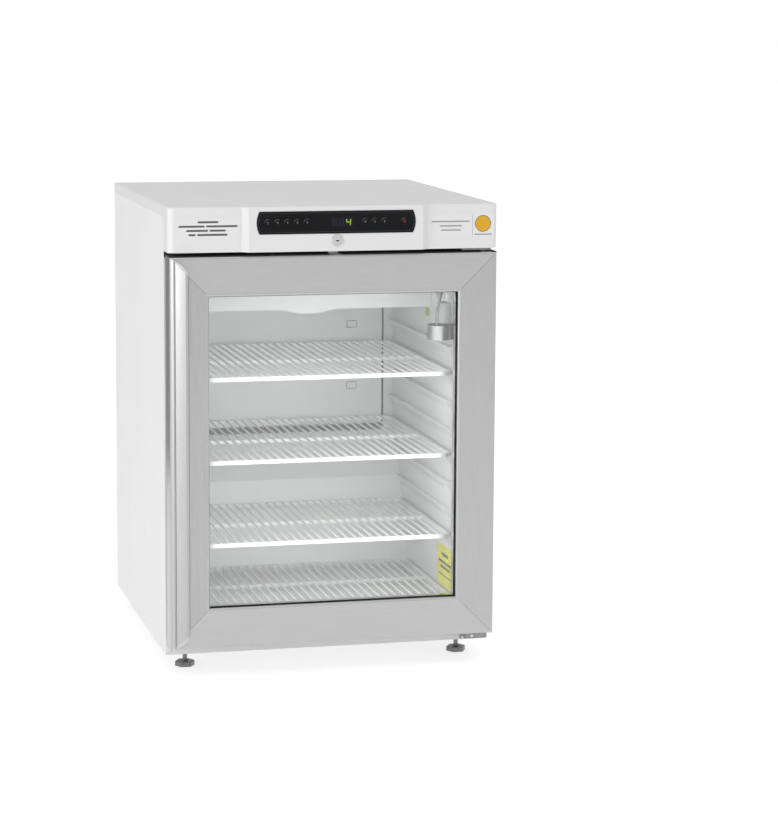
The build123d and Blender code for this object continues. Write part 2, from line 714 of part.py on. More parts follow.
def refrigerant_pipes():
    """Discharge and suction lines between compressor, condenser and the insulation."""
    left = COMPRESSOR_X - 74.0
    discharge = [
        (left, COMPRESSOR_Y, 120.0), (left - 24.0, COMPRESSOR_Y, 120.0),
        (left - 24.0, COMPRESSOR_Y - 39.0, 120.0), (CONDENSER_X + 92.0, COMPRESSOR_Y - 39.0, 120.0),
    ]
    suction = [
        (left, COMPRESSOR_Y + 20.0, 100.0), (left - 34.0, COMPRESSOR_Y + 20.0, 100.0),
        (left - 34.0, COMPRESSOR_Y + 20.0, NICHE_TOP_Z),
    ]
    return group([tube_along(discharge, 3.0, 8.0), tube_along(suction, 4.0, 12.0)])


def power_inlet():
    """Appliance inlet in the rear cover, with a recessed socket and three pins."""
    body = block(
        INLET_X - INLET_W / 2, INLET_X + INLET_W / 2, BACK_Y - 28.0, BACK_Y,
        INLET_Z - INLET_H / 2, INLET_Z + INLET_H / 2,
    )
    body -= block(
        INLET_X - 12.0, INLET_X + 12.0, BACK_Y - 18.0, BACK_Y + 1.0, INLET_Z - 8.5, INLET_Z + 8.5
    )
    for x, z in ((-7.0, -2.0), (0.0, 2.5), (7.0, -2.0)):
        body += block(
            INLET_X + x - 1.0, INLET_X + x + 1.0, BACK_Y - 19.0, BACK_Y - 9.0,
            INLET_Z + z - 2.0, INLET_Z + z + 2.0,
        )
    return body


# ---------------------------------------------------------------- door


def frame_profile(with_handle=False):
    """Door frame section: x runs inwards from the outer edge, y runs back from the front face."""
    glass_back = GLASS_DEPTH + GLASS_UNIT_T
    pocket = GLASS_EDGE - 1.5
    step = FRAME_W - REVEAL_RUBBER
    bevel = 8.0
    edge = FRAME_EDGE_R
    knee = edge * (1.0 - math.sqrt(0.5))
    if with_handle:
        front = handle_outline()
        side_start = LOBE_SIDE_Y
    else:
        front = [ThreePointArc((0, edge), (knee, knee), (edge, 0)), Line((edge, 0), (FRAME_FLAT, 0))]
        side_start = edge
    bead = ThreePointArc((FRAME_FLAT, 0), (FRAME_W - 1.3, 0.9), (FRAME_W, BEAD_DEPTH))
    rear = Polyline(
        (FRAME_W, BEAD_DEPTH), (step, BEAD_DEPTH), (step, GLASS_DEPTH), (pocket, GLASS_DEPTH),
        (pocket, glass_back), (step, glass_back), (step, DOOR_T), (bevel, DOOR_T),
        (0, DOOR_T - bevel), (0, side_start),
    )
    near = FRAME_WALL
    far = pocket - FRAME_WALL
    deep = DOOR_T - FRAME_WALL
    hollow = Polyline(
        (near + 4.0, near), (far, near), (far, deep), (bevel + 1.0, deep), (near, deep - bevel + 1.0),
        (near, near + 4.0), (near + 4.0, near),
    )
    return make_face(Curve() + front + [bead, rear]) - make_face(hollow)


GRIP_TOP_Y = HANDLE_FRONT_Y - DOOR_FRONT_Y
LOBE_SIDE_Y = -1.0
LOBE_TOP_Y = -12.5
GROOVE_Y = -10.5
GRIP_CREST_X = 28.0


def handle_outline():
    """Front of the handle stile: a rounded lobe, a narrow groove, and the grip that stands proud."""
    lobe_end = (6.5, LOBE_TOP_Y)
    grip_start = (9.6, LOBE_TOP_Y - 0.3)
    slope_end = (GRIP_CREST_X - 3.0, GRIP_TOP_Y + 0.7)
    crest = (GRIP_CREST_X, GRIP_TOP_Y)
    shoulder = (GRIP_CREST_X + 4.0, GRIP_TOP_Y + 3.0)
    return [
        ThreePointArc((0, LOBE_SIDE_Y), (2.2, LOBE_TOP_Y + 3.5), lobe_end),
        Polyline(lobe_end, (7.3, GROOVE_Y), (8.9, GROOVE_Y), grip_start),
        ThreePointArc(grip_start, (16.8, GRIP_TOP_Y + 4.5), slope_end),
        ThreePointArc(slope_end, crest, shoulder),
        Line(shoulder, (HANDLE_W, 0)),
        Line((HANDLE_W, 0), (FRAME_FLAT, 0)),
    ]


def frame_bar(side, with_handle=False):
    """A full-length frame extrusion on one side, before its mitres are cut."""
    profile = frame_profile(with_handle)
    width = 2 * DOOR_HALF_W
    height = DOOR_TOP_Z - DOOR_BOTTOM_Z
    places = {
        "left": ((-DOOR_HALF_W, DOOR_FRONT_Y, DOOR_BOTTOM_Z), (1, 0, 0), (0, 0, 1), height),
        "right": ((DOOR_HALF_W, DOOR_FRONT_Y, DOOR_TOP_Z), (-1, 0, 0), (0, 0, -1), height),
        "top": ((-DOOR_HALF_W, DOOR_FRONT_Y, DOOR_TOP_Z), (0, 0, -1), (1, 0, 0), width),
        "bottom": ((DOOR_HALF_W, DOOR_FRONT_Y, DOOR_BOTTOM_Z), (0, 0, 1), (-1, 0, 0), width),
    }
    origin, x_dir, z_dir, length = places[side]
    face = Plane(origin=origin, x_dir=x_dir, z_dir=z_dir) * profile
    return extrude(face, length, dir=z_dir)


def mitre(side):
    """The space that one mitred frame member may fill."""
    reach = 80.0
    w = DOOR_HALF_W
    low = DOOR_BOTTOM_Z
    top = DOOR_TOP_Z
    outlines = {
        "left": [(-w, low), (-w, top), (-w + reach, top - reach), (-w + reach, low + reach)],
        "right": [(w, low), (w, top), (w - reach, top - reach), (w - reach, low + reach)],
        "top": [(-w, top), (w, top), (w - reach, top - reach), (-w + reach, top - reach)],
        "bottom": [(-w, low), (w, low), (w - reach, low + reach), (-w + reach, low + reach)],
    }
    return prism_y(outlines[side], HANDLE_FRONT_Y - 5.0, BODY_FRONT_Y)


def lock_keeper():
    """Tab on the top rail that stands behind the cam when the lock is turned."""
    near = CAM_Y + CAM_T + 0.6
    half_w = CAM_HALF_H + 4.0
    return block(LOCK_X - half_w, LOCK_X + half_w, near, near + 3.0, DOOR_TOP_Z, FASCIA_BOTTOM_Z - 1.2)


def door_member(side):
    """One mitred frame member with its hinge bush hole; the top one carries the lock's keeper."""
    member = frame_bar(side, side == "left") & mitre(side)
    bush_r = HINGE_PIN_R + 2.0
    if side == "top":
        member -= rod_z(HINGE_X, HINGE_Y, DOOR_TOP_Z - 3.0, DOOR_TOP_Z + 1.0, bush_r)
        member = group([member, lock_keeper()])
    if side == "bottom":
        member -= rod_z(HINGE_X, HINGE_Y, DOOR_BOTTOM_Z - 1.0, DOOR_BOTTOM_Z + 3.0, bush_r)
    return member


CAP_START_X = 2.5
CAP_BULGE = 5.0


def cap_outline(end, inward):
    """A lens between the handle's mitre and an arc outside it, seen from the front, as (x, z)."""
    start = Vector(-DOOR_HALF_W + CAP_START_X, 0, end + inward * CAP_START_X)
    finish = Vector(-DOOR_HALF_W + HANDLE_W, 0, end + inward * HANDLE_W)
    outward = Vector(1, 0, -inward).normalized()
    middle = (start + finish) * 0.5 + outward * CAP_BULGE
    return [ThreePointArc(start, middle, finish), Line(finish, start)]


def handle_caps():
    """Lens-shaped caps that close the mitred ends of the handle over the top and bottom rails."""
    closing = Polyline((HANDLE_W, 0), (0, 0), (0, LOBE_SIDE_Y))
    section = make_face(Curve() + handle_outline()[:-1] + [closing])
    plane = Plane(origin=(-DOOR_HALF_W, DOOR_FRONT_Y, DOOR_BOTTOM_Z), x_dir=(1, 0, 0), z_dir=(0, 0, 1))
    grip = extrude(plane * section, DOOR_TOP_Z - DOOR_BOTTOM_Z, dir=(0, 0, 1))
    caps = []
    for end, inward in ((DOOR_TOP_Z, -1), (DOOR_BOTTOM_Z, 1)):
        lens = Pos(0, DOOR_FRONT_Y, 0) * make_face(Curve() + cap_outline(end, inward))
        caps.append(grip & extrude(lens, DOOR_FRONT_Y - HANDLE_FRONT_Y + 5.0, dir=(0, -1, 0)))
    return group(caps)


def ring_y(half_w_out, z_inset_out, bar, y0, y1):
    """A rectangular ring in the door's plane; the second value is its inset from the door's ends."""
    low = DOOR_BOTTOM_Z + z_inset_out
    top = DOOR_TOP_Z - z_inset_out
    outer = block(-half_w_out, half_w_out, y0, y1, low, top)
    return outer - block(-half_w_out + bar, half_w_out - bar, y0 - 1.0, y1 + 1.0, low + bar, top - bar)


GLASS_FRONT_Y = DOOR_FRONT_Y + GLASS_DEPTH
GLASS_BACK_Y = GLASS_FRONT_Y + GLASS_UNIT_T


def glass_panes():
    """Outer and inner pane of the insulating glass unit."""
    half = DOOR_HALF_W - GLASS_EDGE
    low = DOOR_BOTTOM_Z + GLASS_EDGE
    top = DOOR_TOP_Z - GLASS_EDGE
    return group([
        block(-half, half, GLASS_FRONT_Y, GLASS_FRONT_Y + GLASS_T, low, top),
        block(-half, half, GLASS_BACK_Y - GLASS_T, GLASS_BACK_Y, low, top),
    ])


def spacer_frame():
    """Spacer bar between the panes."""
    return ring_y(
        DOOR_HALF_W - GLASS_EDGE, GLASS_EDGE, 9.5, GLASS_FRONT_Y + GLASS_T, GLASS_BACK_Y - GLASS_T
    )


def glazing_gasket():
    """Black rubber that lines the reveal between the frame's bead and the outer pane."""
    reveal = FRAME_W - REVEAL_RUBBER
    return ring_y(DOOR_HALF_W - reveal, reveal, REVEAL_RUBBER, DOOR_FRONT_Y + BEAD_DEPTH, GLASS_FRONT_Y)


def door_gasket():
    """Magnetic gasket on the door's back, just clear of the cabinet's front flange."""
    door_back = DOOR_FRONT_Y + DOOR_T
    base = ring_y(269.5, 6.0 + 1.0, 14.0, door_back, door_back + 3.0)
    return base + ring_y(267.5, 6.0 + 3.0, 10.0, door_back + 3.0, BODY_FRONT_Y - 0.4)


# ---------------------------------------------------------------- hinges

TOP_ARM_Z = 746.4
BOTTOM_ARM_Z = 35.0
BOTTOM_ARM_TOP_Z = 44.0
TOP_ARM_START_X = 234.0
BOTTOM_ARM_START_X = 248.0
ARM_END_X = 290.0
FLANGE_END_X = 268.0
HINGE_ARM_REACH = 12.0
HINGE_ARM_CORNER_R = 8.0
FLANGE_T = 3.0


def hinge_bracket(start_x, low, arm_low, arm_high, high):
    """Angle bracket: an arm under or over the door and a flange on the cabinet's front."""
    arm = block(start_x, ARM_END_X, HINGE_Y - HINGE_ARM_REACH, BODY_FRONT_Y, arm_low, arm_high)
    front = arm.edges().filter_by(Axis.Z).group_by(Axis.Y)[0]
    arm = fillet(front.sort_by(Axis.X)[-1], HINGE_ARM_CORNER_R)
    flange = block(start_x, FLANGE_END_X, BODY_FRONT_Y - FLANGE_T, BODY_FRONT_Y, low, high)
    return arm + flange


def hinge_bracket_top():
    """Upper bracket, in the gap between the door and the fascia."""
    bracket = hinge_bracket(TOP_ARM_START_X, 739.4, TOP_ARM_Z, TOP_ARM_Z + 3.0, TOP_ARM_Z + 3.0)
    return bracket - rod_z(HINGE_X, HINGE_Y, TOP_ARM_Z - 1.0, TOP_ARM_Z + 4.0, HINGE_PIN_R)


def hinge_bracket_bottom():
    """Lower bracket, a thicker casting that carries the door."""
    bracket = hinge_bracket(BOTTOM_ARM_START_X, 26.5, BOTTOM_ARM_Z, BOTTOM_ARM_TOP_Z, BOTTOM_ARM_TOP_Z)
    return bracket - rod_z(HINGE_X, HINGE_Y, BOTTOM_ARM_Z - 1.0, BOTTOM_ARM_TOP_Z + 1.0, HINGE_PIN_R)


def hinge_pins():
    """Pins fixed in the brackets; the lower one has the shoulder that the door stands on."""
    upper = rod_z(HINGE_X, HINGE_Y, DOOR_TOP_Z - 12.0, TOP_ARM_Z + 3.0, HINGE_PIN_R)
    lower = rod_z(HINGE_X, HINGE_Y, BOTTOM_ARM_Z, DOOR_BOTTOM_Z + 12.0, HINGE_PIN_R)
    shoulder = rod_z(HINGE_X, HINGE_Y, BOTTOM_ARM_TOP_Z, DOOR_BOTTOM_Z - 1.1, 8.0)
    return group([upper, lower + shoulder])


def hinge_bushes():
    """Flanged bushes in the door's top and bottom rails."""
    bore = HINGE_PIN_R + RUNNING_GAP
    outer = HINGE_PIN_R + 2.0
    top = rod_z(HINGE_X, HINGE_Y, DOOR_TOP_Z - 14.0, DOOR_TOP_Z, outer)
    top += rod_z(HINGE_X, HINGE_Y, DOOR_TOP_Z, DOOR_TOP_Z + 1.0, outer + 2.0)
    bottom = rod_z(HINGE_X, HINGE_Y, DOOR_BOTTOM_Z, DOOR_BOTTOM_Z + 14.0, outer)
    bottom += rod_z(HINGE_X, HINGE_Y, DOOR_BOTTOM_Z - 1.0, DOOR_BOTTOM_Z, outer + 2.0)
    cut = rod_z(HINGE_X, HINGE_Y, DOOR_BOTTOM_Z - 20.0, DOOR_TOP_Z + 20.0, bore)
    return group([top - cut, bottom - cut])


def hinge_screws():
    """Pan-head screws: two in each bracket flange, and the round-headed one on the lower arm."""
    places = [
        (241.0, BODY_FRONT_Y - FLANGE_T, 742.9), (257.0, BODY_FRONT_Y - FLANGE_T, 742.9),
        (253.0, BODY_FRONT_Y - FLANGE_T, 30.8), (263.0, BODY_FRONT_Y - FLANGE_T, 30.8),
        (259.5, HINGE_Y - HINGE_ARM_REACH, 40.8),
    ]
    screws = []
    for x, y, z in places:
        head = rod_y(x, y - 1.8, y, z, 3.1)
        rim = head.edges().filter_by(GeomType.CIRCLE).sort_by(Axis.Y)[0]
        screws.append(fillet(rim, 1.0))
    return group(screws)


# ---------------------------------------------------------------- feet


def foot_places():
    """X and Y of the four feet: front left, front right, rear left, rear right."""
    return [(side * FOOT_X, y) for y in (FOOT_FRONT_Y, FOOT_REAR_Y) for side in (-1, 1)]


def levelling_foot(x, y):
    """Hexagonal pad with a threaded stem; it stands on the floor, DATUM_Z below the datum."""
    floor = -DATUM_Z
    top = floor + FOOT_PAD_H
    pad = Pos(x, y, floor) * extrude(RegularPolygon(FOOT_PAD_R, 6, major_radius=False), FOOT_PAD_H)
    pad = chamfer(pad.faces().sort_by(Axis.Z)[-1].edges(), 1.2)
    collar = rod_z(x, y, top - 1.0, top + 2.0, FOOT_STEM_R + 2.0)
    return pad + collar + rod_z(x, y, top - 1.0, SILL_TOP_Z - 1.0, FOOT_STEM_R)


# ---------------------------------------------------------------- all nodes


def main():
    """Builds every node and writes it to its own file."""
    os.makedirs("parts", exist_ok=True)
    save("side_panel_left", side_panel(-1))
    save("side_panel_right", side_panel(1))
    save("rear_panel", rear_panel())
    save("rear_grille", rear_grille())
    save("base_pan", base_pan())
    save("front_sill", front_sill())
    save("insulation_foam", insulation_foam())
    save("inner_liner", inner_liner())
    save("top_cover", top_cover())
    save("control_panel", control_panel())
    save("display_window", display_window())
    save("control_board", control_board())
    for name, x in button_places().items():
        save(name, push_button(x))
    save("lock_escutcheon", lock_escutcheon())
    save("lock_barrel", lock_barrel())
    for name, (top, front, back) in SHELVES.items():
        save(name, wire_shelf(top, front, back))
    save("air_panel", air_panel())
    save("ceiling_cover", ceiling_cover())
    save("evaporator", evaporator())
    save("evaporator_fan_frame", fan_frame(0, FAN_Y, FAN_Z, 110.0, 25.0, "Z"))
    save("evaporator_fan_rotor", fan_rotor(0, FAN_Y, FAN_Z + 1.5, 48.0, 16.0, "Z"))
    save("bottle_holder", bottle_holder())
    save("sensor_bottle", sensor_bottle())
    save("temperature_probe", temperature_probe())
    save("compressor", compressor())
    save("compressor_mounts", compressor_mounts())
    save("condenser", condenser())
    fan_y = 234.0
    save("condenser_fan_frame", fan_frame(CONDENSER_X, fan_y, 125.0, 160.0, 25.0, "Y"))
    save("condenser_fan_rotor", fan_rotor(CONDENSER_X, fan_y - 1.5, 125.0, 72.0, 16.0, "Y"))
    save("evaporation_tray", evaporation_tray())
    save("refrigerant_pipes", refrigerant_pipes())
    save("power_inlet", power_inlet())
    save("door_stile_left", door_member("left"))
    save("door_stile_right", door_member("right"))
    save("door_rail_top", door_member("top"))
    save("door_rail_bottom", door_member("bottom"))
    save("handle_caps", handle_caps())
    save("glass_panes", glass_panes())
    save("spacer_frame", spacer_frame())
    save("glazing_gasket", glazing_gasket())
    save("door_gasket", door_gasket())
    save("hinge_brackets", group([hinge_bracket_top(), hinge_bracket_bottom()]))
    save("hinge_pins", hinge_pins())
    save("hinge_bushes", hinge_bushes())
    save("hinge_screws", hinge_screws())
    names = ("foot_front_left", "foot_front_right", "foot_rear_left", "foot_rear_right")
    for name, (x, y) in zip(names, foot_places()):
        save(name, levelling_foot(x, y))


main()
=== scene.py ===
import json
import math

import bmesh
import bpy
from mathutils import Matrix, Vector


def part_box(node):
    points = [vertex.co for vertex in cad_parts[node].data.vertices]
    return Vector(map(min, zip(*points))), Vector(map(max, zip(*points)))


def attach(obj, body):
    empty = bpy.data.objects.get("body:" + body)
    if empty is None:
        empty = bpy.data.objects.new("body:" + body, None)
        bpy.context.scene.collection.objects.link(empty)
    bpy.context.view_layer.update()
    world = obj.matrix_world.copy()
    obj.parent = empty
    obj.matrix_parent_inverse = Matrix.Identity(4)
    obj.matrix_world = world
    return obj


# Looks of the under-counter laboratory refrigerator. Metres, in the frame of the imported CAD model.

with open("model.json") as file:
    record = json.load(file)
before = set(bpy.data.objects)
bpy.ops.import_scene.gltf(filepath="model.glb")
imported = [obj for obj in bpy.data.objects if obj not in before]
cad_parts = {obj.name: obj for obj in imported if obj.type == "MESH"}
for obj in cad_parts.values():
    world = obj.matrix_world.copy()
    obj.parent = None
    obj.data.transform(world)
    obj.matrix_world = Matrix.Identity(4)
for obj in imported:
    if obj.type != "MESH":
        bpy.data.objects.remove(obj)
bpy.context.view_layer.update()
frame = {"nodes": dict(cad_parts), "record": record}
nodes = frame["nodes"]

# Heights that are not taken from a node are counted from a datum, this far above the floor.
DATUM = 0.008

# Thickness of printed marks and films, how far fine marks stand out of what they lie on, and how thick the
# dark sheets of painted shade are.
LABEL_FILM_T = 0.0001
PRINT_T = 0.00012
FINE_MARK_T = 0.00006
SHADE_SHEET_T = 0.0004


# ---------------------------------------------------------------- material tools


class Surface:
    """A material with one Principled shader, and short calls for the nodes that feed it."""

    def __init__(self, name, roughness=0.4, metallic=0.0, coat=0.0):
        self.material = bpy.data.materials.new(name)
        self.material.use_nodes = True
        self.tree = self.material.node_tree
        self.tree.nodes.clear()
        self.output = self.tree.nodes.new("ShaderNodeOutputMaterial")
        self.shader = self.tree.nodes.new("ShaderNodeBsdfPrincipled")
        self.tree.links.new(self.shader.outputs[0], self.output.inputs["Surface"])
        self.shader.inputs["Roughness"].default_value = roughness
        self.shader.inputs["Metallic"].default_value = metallic
        self.shader.inputs["Coat Weight"].default_value = coat
        self.place = self.tree.nodes.new("ShaderNodeTexCoord").outputs["Object"]

    def link(self, source, target):
        self.tree.links.new(source, target)

    def stretched(self, scale):
        """Object coordinates, scaled per axis."""
        node = self.tree.nodes.new("ShaderNodeMapping")
        node.inputs["Scale"].default_value = scale
        self.link(self.place, node.inputs["Vector"])
        return node.outputs[0]

    def noise(self, scale, detail=3.0, rough=0.55, stretch=None):
        node = self.tree.nodes.new("ShaderNodeTexNoise")
        node.inputs["Scale"].default_value = scale
        node.inputs["Detail"].default_value = detail
        node.inputs["Roughness"].default_value = rough
        self.link(self.stretched(stretch) if stretch else self.place, node.inputs["Vector"])
        return node.outputs["Fac"]

    def cells(self, scale, output="Color"):
        node = self.tree.nodes.new("ShaderNodeTexVoronoi")
        node.inputs["Scale"].default_value = scale
        self.link(self.place, node.inputs["Vector"])
        return node.outputs[output]

    def ramp(self, source, *stops):
        """Colours along a factor: stops are (position, colour) pairs."""
        node = self.tree.nodes.new("ShaderNodeValToRGB")
        elements = node.color_ramp.elements
        while len(elements) < len(stops):
            elements.new(0.5)
        for element, (position, colour) in zip(elements, stops):
            element.position = position
            element.color = (*colour, 1.0)
        self.link(source, node.inputs["Fac"])
        return node.outputs["Color"]

    def between(self, source, low, high, start=0.3, end=0.7):
        """A number that runs from low to high as the factor runs from start to end."""
        node = self.tree.nodes.new("ShaderNodeMapRange")
        node.inputs["From Min"].default_value = start
        node.inputs["From Max"].default_value = end
        node.inputs["To Min"].default_value = low
        node.inputs["To Max"].default_value = high
        self.link(source, node.inputs["Value"])
        return node.outputs["Result"]

    def colour(self, source, *stops):
        self.link(self.ramp(source, *stops), self.shader.inputs["Base Color"])
        return self

    def rough(self, source, low, high):
        self.link(self.between(source, low, high), self.shader.inputs["Roughness"])
        return self

    def bump(self, source, strength, distance):
        node = self.tree.nodes.new("ShaderNodeBump")
        node.inputs["Strength"].default_value = strength
        node.inputs["Distance"].default_value = distance
        self.link(source, node.inputs["Height"])
        self.link(node.outputs["Normal"], self.shader.inputs["Normal"])
        return self


def grey(value, warmth=0.0):
    """A near neutral colour."""
    return (value + warmth, value, value - warmth)


def soft_white(name, value, roughness, coat, grain, grain_depth):
    """Painted sheet or moulded plastic: faint cloudiness, fine surface grain and uneven gloss."""
    made = Surface(name, roughness, coat=coat)
    cloud = made.noise(7.0, 4.0)
    made.colour(cloud, (0.3, grey(value * 0.975)), (0.7, grey(value)))
    made.rough(made.noise(23.0, 3.0), roughness - 0.05, roughness + 0.05)
    return made.bump(made.noise(grain, 2.0), 0.35, grain_depth)


def metal(name, value, roughness, stretch, warmth=0.0, grain=260.0):
    """Metal with a drawn or brushed grain along one direction."""
    made = Surface(name, roughness, metallic=1.0)
    lines = made.noise(grain, 4.0, 0.6, stretch)
    made.colour(lines, (0.25, grey(value * 0.93, warmth)), (0.75, grey(value * 1.04, warmth)))
    made.rough(made.noise(grain * 0.4, 3.0, 0.6, stretch), roughness - 0.06, roughness + 0.06)
    return made.bump(lines, 0.12, 0.00003)


def plastic(name, colour, roughness):
    """Moulded plastic or rubber with a fine spark-eroded texture."""
    made = Surface(name, roughness)
    darker = tuple(c * 0.88 for c in colour)
    made.colour(made.noise(35.0, 4.0), (0.3, darker), (0.7, colour))
    made.rough(made.noise(60.0, 3.0), roughness - 0.06, roughness + 0.06)
    return made.bump(made.noise(900.0, 2.0), 0.3, 0.00004)


def dull_black(name, colour, roughness):
    """Black plastic behind a matt film, with very little shine."""
    made = plastic(name, colour, roughness)
    made.shader.inputs["Specular IOR Level"].default_value = 0.12
    return made


def through_light(made, tint):
    """Lets lamps through clear material, so that what is behind it is lit."""
    tree = made.tree
    path = tree.nodes.new("ShaderNodeLightPath")
    clear = tree.nodes.new("ShaderNodeBsdfTransparent")
    clear.inputs["Color"].default_value = (*tint, 1.0)
    mix = tree.nodes.new("ShaderNodeMixShader")
    made.link(path.outputs["Is Shadow Ray"], mix.inputs[0])
    made.link(made.shader.outputs[0], mix.inputs[1])
    made.link(clear.outputs[0], mix.inputs[2])
    made.link(mix.outputs[0], made.output.inputs["Surface"])
    return made


def clear(name, colour, roughness, tint):
    """Glass or clear plastic; the tint is what a lamp's light takes on as it passes."""
    made = Surface(name, roughness)
    made.shader.inputs["Transmission Weight"].default_value = 1.0
    made.shader.inputs["IOR"].default_value = 1.5
    dust = made.noise(9.0, 5.0)
    made.colour(dust, (0.3, tuple(c * 0.99 for c in colour)), (0.7, colour))
    made.rough(made.noise(4.0, 2.0), 0.0, roughness)
    return through_light(made, tint)


def glow(name, colour, strength):
    """A lit display segment with slightly uneven brightness."""
    made = Surface(name, 0.5)
    patch = made.noise(120.0, 2.0)
    dim = tuple(c * 0.85 for c in colour)
    tone = made.ramp(patch, (0.3, dim), (0.7, colour))
    made.link(tone, made.shader.inputs["Base Color"])
    made.link(tone, made.shader.inputs["Emission Color"])
    made.shader.inputs["Emission Strength"].default_value = strength
    return made


# ---------------------------------------------------------------- materials

# Scales that draw a grain out along one axis, or leave it even.
LONG_X = (0.03, 1.0, 1.0)
LONG_Z = (1.0, 1.0, 0.03)
EVEN = (1.0, 1.0, 1.0)

paint = soft_white("paint_white", 0.72, 0.65, 0.0, 420.0, 0.00006)
moulding = soft_white("moulding_white", 0.75, 0.40, 0.1, 1400.0, 0.00003)
liner = soft_white("liner_white", 0.76, 0.33, 0.2, 160.0, 0.00008)
wire_coating = soft_white("shelf_coating", 0.80, 0.40, 0.1, 500.0, 0.00004)
panel_coating = soft_white("panel_coating", 0.78, 0.36, 0.1, 500.0, 0.00004)
foam = Surface("foam", 0.9)
pores = foam.cells(700.0, "Distance")
foam.colour(pores, (0.2, (0.62, 0.55, 0.36)), (0.8, (0.78, 0.72, 0.52)))
foam.bump(pores, 0.6, 0.0004)
zinc = Surface("zinc", 0.42, metallic=1.0)
zinc.colour(zinc.cells(90.0), (0.1, grey(0.52)), (0.9, grey(0.68)))
zinc.rough(zinc.noise(40.0), 0.36, 0.52)
zinc.bump(zinc.noise(500.0), 0.15, 0.00004)
# The rails, the right stile and the handle stile are one anodised aluminium; their base brightness differs
# (rails lightest, handle stile darkest) as painted light and shade, set for how bright each member looks
# under the lamps.
anodised_x = metal("anodised_rail", 0.54, 0.34, LONG_X, grain=900.0)
anodised_z = metal("anodised_stile", 0.51, 0.34, LONG_Z, grain=900.0)
anodised_grip = metal("anodised_grip", 0.48, 0.30, LONG_Z, grain=900.0)
spacer_metal = metal("spacer_metal", 0.86, 0.14, LONG_Z, grain=900.0)
fin_metal = metal("fin_metal", 0.72, 0.35, LONG_Z)
ring_metal = metal("ring_metal", 0.36, 0.42, LONG_Z, grain=500.0)
lock_metal = metal("lock_metal", 0.66, 0.26, LONG_X, grain=700.0)
bracket_metal = metal("bracket_metal", 0.34, 0.5, EVEN, grain=400.0)
foot_metal = metal("foot_metal", 0.20, 0.36, EVEN, grain=500.0)
copper = metal("copper", 0.55, 0.3, LONG_Z, warmth=0.17)
cap_plastic = plastic("cap_plastic", grey(0.58), 0.45)
# Real black rubber, and also the painted shade in the key slot and in the gap beside the air panel.
rubber_and_painted_shade = plastic("black_rubber", grey(0.018), 0.62)
gasket = plastic("gasket_grey", grey(0.70), 0.6)
panel_black = dull_black("panel_black", (0.0070, 0.0075, 0.0085), 0.45)
lens_black = dull_black("lens_black", (0.0110, 0.0095, 0.0150), 0.30)
button_black = dull_black("button_black", (0.0060, 0.0065, 0.0070), 0.40)
button_red = dull_black("button_dark_red", (0.0120, 0.0065, 0.0065), 0.40)
board_green = plastic("board_green", (0.02, 0.14, 0.05), 0.4)
fan_black = plastic("fan_black", grey(0.03), 0.45)
compressor_black = plastic("compressor_black", grey(0.02), 0.32)
inlet_black = plastic("inlet_black", grey(0.02), 0.4)
bush_plastic = plastic("bush_plastic", grey(0.05), 0.4)
door_glass = clear("door_glass", (0.985, 0.995, 0.99), 0.01, (0.985, 0.99, 0.987))
bottle_clear = clear("bottle_clear", (0.97, 0.985, 0.98), 0.03, (0.9, 0.92, 0.91))

FINISH = {
    "painted_steel": paint,
    "white_moulding": moulding,
    "liner_white": liner,
    "foam": foam,
    "galvanised_steel": zinc,
    "frame_aluminium": anodised_z,
    "cap_plastic": cap_plastic,
    "door_glass": door_glass,
    "spacer_aluminium": spacer_metal,
    "black_rubber": rubber_and_painted_shade,
    "gasket_grey": gasket,
    "panel_black": panel_black,
    "display_lens": lens_black,
    "button_dark": button_black,
    "button_red": button_red,
    "board_green": board_green,
    "lock_steel": lock_metal,
    "shelf_coating": wire_coating,
    "panel_grey": panel_coating,
    "fin_aluminium": fin_metal,
    "fan_black": fan_black,
    "ring_steel": ring_metal,
    "bottle_clear": bottle_clear,
    "compressor_black": compressor_black,
    "copper": copper,
    "bracket_grey": bracket_metal,
    "foot_metal": foot_metal,
    "bush_plastic": bush_plastic,
    "inlet_black": inlet_black,
}


def coat(name, surface):
    """Gives a CAD node its finish."""
    node = nodes[name]
    if not node.material_slots:
        node.data.materials.append(surface.material)
    for slot in node.material_slots:
        slot.material = surface.material


for subpart in frame["record"]["subparts"]:
    coat(subpart["node"], FINISH[subpart["material_slot"]])
for rail in ("door_rail_top", "door_rail_bottom"):
    coat(rail, anodised_x)
coat("door_stile_left", anodised_grip)


# ---------------------------------------------------------------- mesh tools


def add(name, build, surface, body, smooth=False):
    """Makes a mesh object from a function that fills a bmesh, paints it and ties it to a body."""
    mesh = bpy.data.meshes.new(name)
    bm = bmesh.new()
    build(bm)
    bmesh.ops.recalc_face_normals(bm, faces=bm.faces)
    for face in bm.faces:
        face.smooth = smooth
    bm.to_mesh(mesh)
    bm.free()
    piece = bpy.data.objects.new(name, mesh)
    bpy.context.scene.collection.objects.link(piece)
    mesh.materials.append(surface.material)
    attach(piece, body)


def extruded(bm, outline, place, depth):
    """A prism: outline is (u, v) points, place turns (u, v, w) into a position, w runs from 0 to depth."""
    near = [bm.verts.new(place(u, v, 0.0)) for u, v in outline]
    far = [bm.verts.new(place(u, v, depth)) for u, v in outline]
    bm.faces.new(near)
    bm.faces.new(list(reversed(far)))
    for i in range(len(outline)):
        j = (i + 1) % len(outline)
        bm.faces.new([near[i], far[i], far[j], near[j]])


def rounded(cx, cy, width, height, radius, steps=5):
    """A rectangle with round corners."""
    points = []
    for sx, sy, start in ((1, 1, 0), (-1, 1, 90), (-1, -1, 180), (1, -1, 270)):
        x = cx + sx * (width / 2 - radius)
        y = cy + sy * (height / 2 - radius)
        for k in range(steps + 1):
            angle = math.radians(start + 90.0 * k / steps)
            points.append((x + radius * math.cos(angle), y + radius * math.sin(angle)))
    return points


